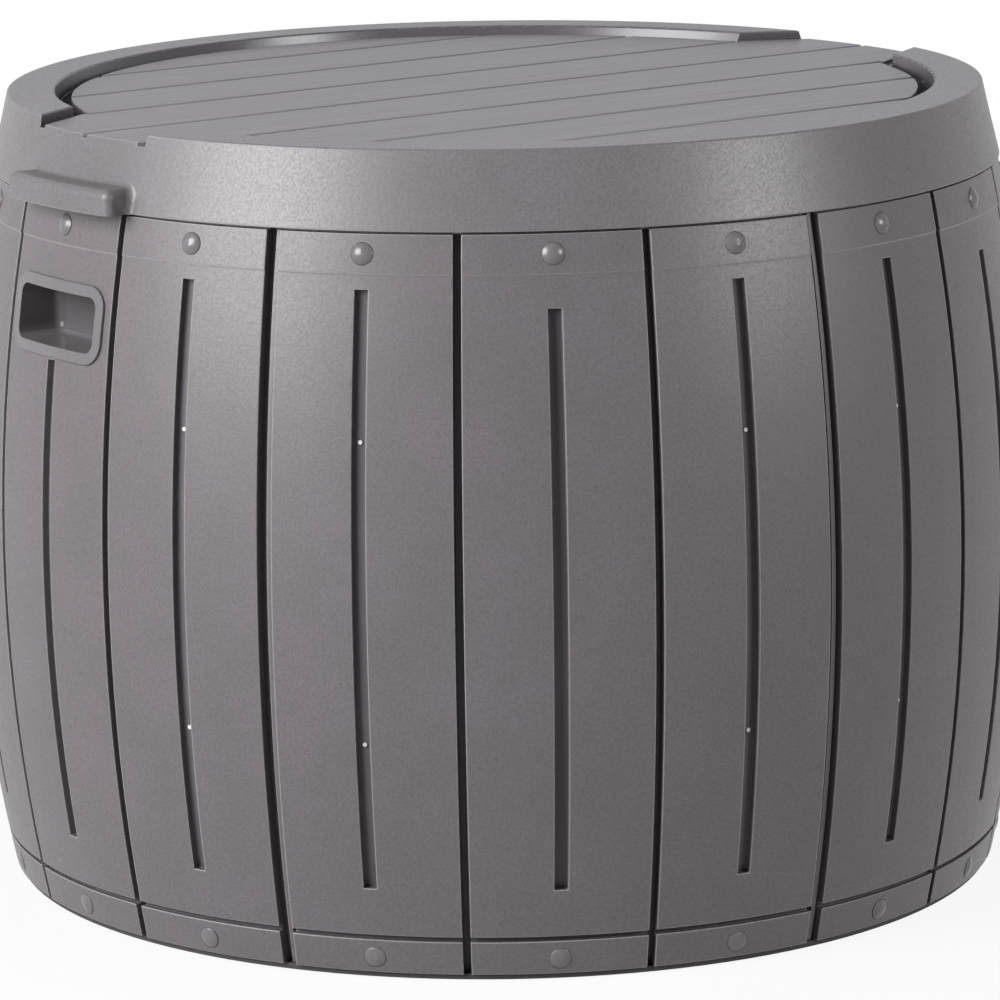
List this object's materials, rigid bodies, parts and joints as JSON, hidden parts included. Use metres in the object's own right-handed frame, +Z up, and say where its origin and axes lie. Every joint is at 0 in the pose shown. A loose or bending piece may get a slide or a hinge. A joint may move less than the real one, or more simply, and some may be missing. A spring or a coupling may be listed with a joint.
{
  "type": "outdoor storage box",
  "caption": "Barrel-shaped resin outdoor storage box with stave walls, domed rivet caps, recessed handle cups and a planked lift-off lid that serves as a side table",
  "frame": {"origin": "on the floor, at the middle of the box's foot", "axes": "+Z up; the handle cups, pull lips and planks lie along X; -Y is the front, and the picture is taken from the front left"},
  "size_m": [0.5998, 0.6, 0.4386],
  "materials": {
    "base_resin": "grained grey polypropylene, in shadow",
    "wall_resin": "finely grained grey polypropylene",
    "smooth_resin": "smooth grey polypropylene",
    "lid_resin": "grey polypropylene, grained skirt and brushed planks"
  },
  "bodies": {
    "box": {"base_tray": "base_resin", "wall_panel_right": "wall_resin", "wall_panel_back_right": "wall_resin", "wall_panel_back_left": "wall_resin", "wall_panel_left": "wall_resin", "wall_panel_front_left": "wall_resin", "wall_panel_front_right": "wall_resin", "seam_strip_1": "wall_resin", "seam_strip_2": "wall_resin", "seam_strip_3": "wall_resin", "seam_strip_4": "wall_resin", "seam_strip_5": "wall_resin", "seam_strip_6": "wall_resin", "handle_cup_right": "smooth_resin", "handle_cup_left": "smooth_resin", "upper_rivets": "smooth_resin", "lower_rivets": "smooth_resin"},
    "lid": {"lid": "lid_resin"}
  },
  "joints": [
    {"name": "lid_lift", "type": "slide", "parent": "box", "child": "lid", "axis": [0, 0, 1], "range_m": [0, 0.25]}
  ]
}
